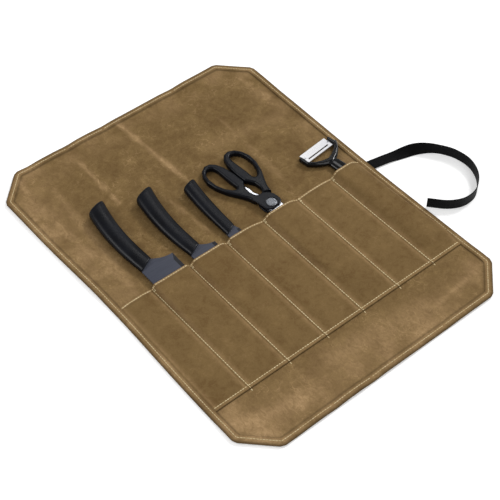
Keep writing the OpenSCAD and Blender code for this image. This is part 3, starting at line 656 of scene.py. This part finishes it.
def pocketFront(k):
    low, high = pockets["edges"][k - 1], pockets["edges"][k]
    bm = bmesh.new()
    length = -pockets["foot"]
    bmesh.ops.create_grid(bm, x_segments=round((high - low) / pockets["grid"]), y_segments=round(length / pockets["grid"]),
                          size=0.5)
    bmesh.ops.scale(bm, vec=(high - low, length, 1), verts=bm.verts)
    bmesh.ops.translate(bm, vec=((low + high) / 2, -length / 2, 0), verts=bm.verts)
    for offset in (pockets["seam"], pockets["seam"] * 2):
        splitAt(bm, (low + offset, 0, 0), (1, 0, 0))
        splitAt(bm, (high - offset, 0, 0), (1, 0, 0))
    for y in (-0.0004, -0.0012, -pockets["mouthBand"], -pockets["mouthBand"] + 0.0006, pockets["foot"] + 0.0004,
              pockets["foot"] + 0.0012, pockets["foot"] + pockets["lip"] - 0.0022, pockets["foot"] + pockets["lip"] - 0.0008):
        splitAt(bm, (0, y, 0), (0, 1, 0))
    for layer in ("wear", "grime"):
        bm.verts.layers.float.new(layer)
    wear, grime = (bm.verts.layers.float[layer] for layer in ("wear", "grime"))
    grown = bmesh.ops.extrude_face_region(bm, geom=bm.faces[:])["geom"]
    upper = {g for g in grown if isinstance(g, bmesh.types.BMVert)}
    for v in bm.verts:
        x, y = v.co.x, v.co.y
        top = pocketTop(k, x, y)
        under = pockets["liningTop"] + pocketHeight(k, x, y)
        rim = min(-y, y - pockets["foot"]) / 0.0012
        part = 0.3 + 0.7 * math.sqrt(max(0, 1 - (1 - min(max(rim, 0), 1)) ** 2))
        middle = (top + under) / 2
        v.co.z = middle + (top - under) / 2 * (part if v in upper else -part)
        v.co.x = drawnIn(x, y)
        side = min(x - low, high - x)
        # pale at the mouth's folded edge: a painted highlight; pale beside the dividers and just above the foot
        v[wear] = max(0.6 * smoothStep((y + 0.005) / 0.003), 0.4 * math.exp(-((side - 0.003) / 0.002) ** 2),
                      0.35 * math.exp(-((y - pockets["foot"] - 0.002) / 0.002) ** 2))
        # painted shade under the mouth band's step and along the dividers, and a painted shadow under the folded foot
        # edge
        v[grime] = max(0.2 * math.exp(-((y + pockets["mouthBand"]) / 0.0008) ** 2), 0.1 * math.exp(-(side / 0.0012) ** 2),
                       0.3 * math.exp(-((y - pockets["foot"]) / 0.0007) ** 2))
    bmesh.ops.recalc_face_normals(bm, faces=bm.faces)
    return makePiece("pocketFront%d" % k, bm, pocketCloth, 60), (high - low, length)


def threadRow(bm, k, start, end):
    a, b = Vector((*start, 0)), Vector((*end, 0))
    count = max(1, round((b - a).length / stitches["pitch"]))
    for n in range(count):
        p = a.lerp(b, (n + 0.5) / count)
        ahead = (b - a).normalized() * 0.001
        here, there = pocketTop(k, p.x, p.y), pocketTop(k, p.x + ahead.x, p.y + ahead.y)
        step = Vector((ahead.x, ahead.y, there - here))
        stitch(bm, Vector((drawnIn(p.x, p.y), p.y, here)), step, Vector((0, 0, 1)), stitches["size"])


def pocketThread(k):
    low, high = pockets["edges"][k - 1], pockets["edges"][k]
    bm = bmesh.new()
    rim = 0.0009
    for y in (-0.0022, pockets["foot"] + pockets["lip"]):
        threadRow(bm, k, (low + rim, y), (high - rim, y))
    if k > 1:  # divider seam, run on past the foot, and tacked twice at the mouth
        threadRow(bm, k, (low + rim, pockets["foot"] - 0.0035), (low + rim, -0.0006))
        threadRow(bm, k, (low + rim + 0.0011, -0.007), (low + rim + 0.0011, -0.0006))
    return makePiece("pocketThread%d" % k, bm, thread)


for k, panel in enumerate(pockets["panels"], 1):
    front, size = pocketFront(k)
    rows = pocketThread(k)
    for piece in (front, rows):
        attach(piece, "panel_%d" % panel)
    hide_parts("pocket_%d" % k)
print("pockets made")


def layKnife(bm, k):
    lie = Matrix.Translation((*k["place"], knifeZ(k))) @ Matrix.Rotation(math.asin(knifeSlope(k)), 4, "X")
    bmesh.ops.transform(bm, matrix=lie, verts=bm.verts)


def knifeBlade(name, k):
    heel, neckY = heelY(k), neckX(k) * slant
    bevel = min(0.005, k["bladeWidth"] * 0.22)
    ys = [0.010, neckY] + [mix(heel, neckY, t) for t in (0.8, 0.6, 0.4, 0.25, 0.12, 0.04)] + [heel]
    count = 26
    ys += [mix(heel, -k["blade"], math.sin(math.pi / 2 * n / count)) for n in range(1, count + 1)]
    half = bladeThick / 2

    def leftAt(y):
        return bladeLeft(k, y)

    def rightAt(y):
        return bladeRight(k, y)

    def bevelAt(y):
        width = bevel if y <= heel else 0.0004
        return max(rightAt(y) - width, mix(leftAt(y), rightAt(y), 0.5))

    rows = [(leftAt, half), (bevelAt, half), (rightAt, 0.0001), (rightAt, -0.0001), (bevelAt, -half), (leftAt, -half)]
    bm = bmesh.new()
    first = [bm.verts.new((leftAt(y), y, -half)) for y in ys]
    wire = [bm.edges.new(pair) for pair in zip(first, first[1:])]
    for place, z in rows:
        grown = bmesh.ops.extrude_edge_only(bm, edges=wire)["geom"]
        fresh = [g for g in grown if isinstance(g, bmesh.types.BMVert)]
        for v in fresh:
            v.co = (place(v.co.y), v.co.y, z if v.co.y <= heel or z * z > 1e-7 else math.copysign(half * 0.9, z))
        wire = [g for g in grown if isinstance(g, bmesh.types.BMEdge) and all(v in fresh for v in g.verts)]
    bmesh.ops.remove_doubles(bm, verts=bm.verts, dist=1e-5)
    bmesh.ops.holes_fill(bm, edges=bm.edges, sides=0)
    bmesh.ops.recalc_face_normals(bm, faces=bm.faces)
    for face in bm.faces:
        centre = face.calc_center_median()
        face.material_index = 1 if centre.y < heel and centre.x > bevelAt(centre.y) + 0.0001 else 0
    layKnife(bm, k)
    piece = makePiece(name + "Blade", bm, bladeCoat, 12)
    piece.data.materials.append(shadedBevelCoat)
    return piece


# rings along a handle: share of its length, share of its section
gripRings = [(0, 0.98), (0.003, 1), (0.014, 1)] + [(n / 20, 1) for n in range(1, 19)] + [
    (0.94, 1), (0.96, 0.995), (0.976, 0.98), (0.988, 0.95), (0.995, 0.91), (0.999, 0.84), (1.001, 0.6)]


def knifeHandle(name, k):
    sides = 36
    collarThick = bladeThick + 2 * k["blade"] * knifeSlope(k)

    def spot(ring, s):
        t, swell = ring
        angle = 2 * math.pi * s / sides
        across, up = ((abs(c) ** 0.8) * math.copysign(1, c) for c in (math.cos(angle), math.sin(angle)))
        x = 0.005 * t ** 3 - k["bow"] * math.sin(math.pi * t) + mix(k["collar"], k["butt"], t) / 2 * swell * across
        return Vector((x, k["grip"] * t + x * slant * (1 - 0.5 * t), mix(collarThick, k["buttThick"], t) / 2 * swell * up))

    bm = bmesh.new()
    verts = [bm.verts.new(spot(gripRings[0], s)) for s in range(sides)]
    loop = [bm.edges.new((verts[s], verts[(s + 1) % sides])) for s in range(sides)]
    for a, b in zip(gripRings, gripRings[1:]):
        grown = bmesh.ops.extrude_edge_only(bm, edges=loop)["geom"]
        fresh = {g for g in grown if isinstance(g, bmesh.types.BMVert)}
        near = {tuple(round(c, 7) for c in spot(a, s)): s for s in range(sides)}
        for v in fresh:
            v.co = spot(b, near[tuple(round(c, 7) for c in v.co)])
        loop = [g for g in grown if isinstance(g, bmesh.types.BMEdge) and all(v in fresh for v in g.verts)]
    bmesh.ops.holes_fill(bm, edges=bm.edges, sides=0)
    bmesh.ops.recalc_face_normals(bm, faces=bm.faces)
    layKnife(bm, k)
    return makePiece(name + "Handle", bm, gripPlastic, 60)


# a moulded piece: a copy of the solid, remeshed and smoothed so that its edges are rounded
def mouldedCopy(node, name, material, voxel, rounds):
    bm = bmesh.new()
    bm.from_mesh(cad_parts[node].data)
    bmesh.ops.remove_doubles(bm, verts=bm.verts, dist=1e-6)
    piece = makePiece(name, bm, material)
    remesh = piece.modifiers.new("remesh", "REMESH")
    remesh.mode = "VOXEL"
    remesh.voxel_size = voxel
    remesh.use_smooth_shade = True
    soften = piece.modifiers.new("soften", "SMOOTH")
    soften.factor = 0.5
    soften.iterations = rounds
    bpy.context.view_layer.update()
    made = bpy.data.meshes.new_from_object(piece.evaluated_get(bpy.context.evaluated_depsgraph_get()))
    piece.modifiers.clear()
    piece.data = made
    made.materials.clear()
    made.materials.append(material)
    made.shade_smooth()
    return piece


def bevelledCopy(node, name, material, width):
    bm = bmesh.new()
    bm.from_mesh(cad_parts[node].data)
    bmesh.ops.remove_doubles(bm, verts=bm.verts, dist=1e-6)
    bmesh.ops.dissolve_limit(bm, angle_limit=math.radians(2), verts=bm.verts, edges=bm.edges)
    piece = makePiece(name, bm, material, 30)
    bevel = piece.modifiers.new("bevel", "BEVEL")
    bevel.width = width
    bevel.segments = 2
    bevel.limit_method = "ANGLE"
    bevel.angle_limit = math.radians(40)
    bevel.harden_normals = True
    return piece


for name, k in knives.items():
    body = name + "_knife"
    blade = knifeBlade(name, k)
    handle = knifeHandle(name, k)
    for piece, node, finish in ((blade, "_blade", "dark_blade"), (handle, "_handle", "moulded_black")):
        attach(piece, body)
        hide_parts(body + node)
print("knives made")

tools = (("scissors_front_handle", "scissors", "moulded_black", gripPlastic),
         ("scissors_back_handle", "scissors_back", "moulded_black", gripPlastic),
         ("peeler_handle", "peeler", "gloss_black", peelerPlastic))
for node, body, finish, material in tools:
    words = node.split("_")
    piece = mouldedCopy(node, words[0] + "".join(w.title() for w in words[1:]), material, 0.0006, 8)
    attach(piece, body)
    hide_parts(node)
plates = (("scissors_front_blade", "scissors", "steel", polishedSteel, 0.0002),
          ("scissors_back_blade", "scissors_back", "steel", polishedSteel, 0.0002),
          ("peeler_blade", "peeler_blade", "white_ceramic", whiteCeramic, 0.0002))
for node, body, finish, material, width in plates:
    words = node.split("_")
    piece = bevelledCopy(node, words[0] + "".join(w.title() for w in words[1:]), material, width)
    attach(piece, body)
    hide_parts(node)


# pivot screw: half outline as radius and height, turned about the pivot
screw = dict(place=(0.0505, 0.0105), steps=48,
             outline=[(0, 10.5), (4.1, 10.5), (4.5, 10.3), (4.9, 10.3), (5.3, 10.65), (5.9, 10.7), (6.3, 10.6), (6.5, 10.3),
                      (6.5, 7.95), (2.5, 7.95), (2.5, 3.5), (0, 3.5)])


def makeScrew():
    bm = bmesh.new()
    x, y = screw["place"]
    verts = [bm.verts.new((x + r * 0.001, y, z * 0.001)) for r, z in screw["outline"]]
    edges = [bm.edges.new(pair) for pair in zip(verts, verts[1:])]
    bmesh.ops.spin(bm, geom=verts + edges, cent=(x, y, 0), axis=(0, 0, 1), angle=2 * math.pi, steps=screw["steps"],
                   use_merge=True)
    bmesh.ops.remove_doubles(bm, verts=bm.verts, dist=1e-6)
    bmesh.ops.recalc_face_normals(bm, faces=bm.faces)
    piece = makePiece("scissorsScrew", bm, brushedSteel, 12)
    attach(piece, "scissors")
    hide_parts("scissors_screw")


makeScrew()
for node in ("scissors_nut", "peeler_pins"):
    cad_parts[node].data.materials.clear()
    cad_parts[node].data.materials.append(polishedSteel)
print("scissors and peeler made")

# stage: pale floor, soft light
stage = dict(floor="#ffffff", floorSize=25, sky=0.34, lamps=[((3.2, 0.5, 2.9), 1.2, 92), ((-1.4, 0.9, 1.5), 1.2, 15),
                                               ((0.1, -1.5, 1.3), 1.0, 6), ((1.1, 1.3, 1.9), 0.5, 2.4)])


def makeStage():
    bm = bmesh.new()
    bmesh.ops.create_grid(bm, x_segments=2, y_segments=2, size=stage["floorSize"])
    material, tree, shader = newMaterial("paleFloor")
    shader.inputs["Base Color"].default_value = linearColour(stage["floor"])
    shader.inputs["Roughness"].default_value = 0.9
    # seen straight or in a mirror, the floor is a little lit of itself, more so past the lamps' reach
    rays = addNode(tree, "ShaderNodeLightPath")
    straight = addNode(tree, "ShaderNodeMath", {0: rays.outputs["Is Camera Ray"], 1: rays.outputs["Is Glossy Ray"]},
                       operation="ADD", use_clamp=True)
    seen = addNode(tree, "ShaderNodeMath", {0: straight.outputs[0], 1: rays.outputs["Is Transmission Ray"]},
                   operation="ADD", use_clamp=True)
    place = addNode(tree, "ShaderNodeTexCoord").outputs["Object"]
    reach = addNode(tree, "ShaderNodeVectorMath", {0: place}, operation="LENGTH")
    fill = addNode(tree, "ShaderNodeMapRange", {"Value": reach.outputs["Value"], "From Min": 0.6, "From Max": 3,
                                                "To Min": 0.3, "To Max": 0.85})
    glow = addNode(tree, "ShaderNodeMath", {0: seen.outputs[0], 1: fill.outputs[0]}, operation="MULTIPLY")
    shader.inputs["Emission Color"].default_value = (1, 1, 1, 1)
    tree.links.new(glow.outputs[0], shader.inputs["Emission Strength"])
    floor = makePiece("floor", bm, material)
    floor.location.z = -0.0002
    world = bpy.data.worlds.new("studio")
    world.use_nodes = True
    bpy.context.scene.world = world
    world.node_tree.nodes["Background"].inputs["Color"].default_value = (1, 1, 1, 1)
    world.node_tree.nodes["Background"].inputs["Strength"].default_value = stage["sky"]
    for n, (place, size, power) in enumerate(stage["lamps"]):
        lamp = bpy.data.objects.new("lamp%d" % n, bpy.data.lights.new("lamp%d" % n, "AREA"))
        bpy.context.collection.objects.link(lamp)
        lamp.data.shape = "DISK"
        lamp.data.size = size
        lamp.data.energy = power
        lamp.location = place
        lamp.rotation_euler = (-Vector(place)).to_track_quat("-Z", "Y").to_euler()


makeStage()
bpy.context.scene.view_settings.view_transform = "Standard"
print("stage made")
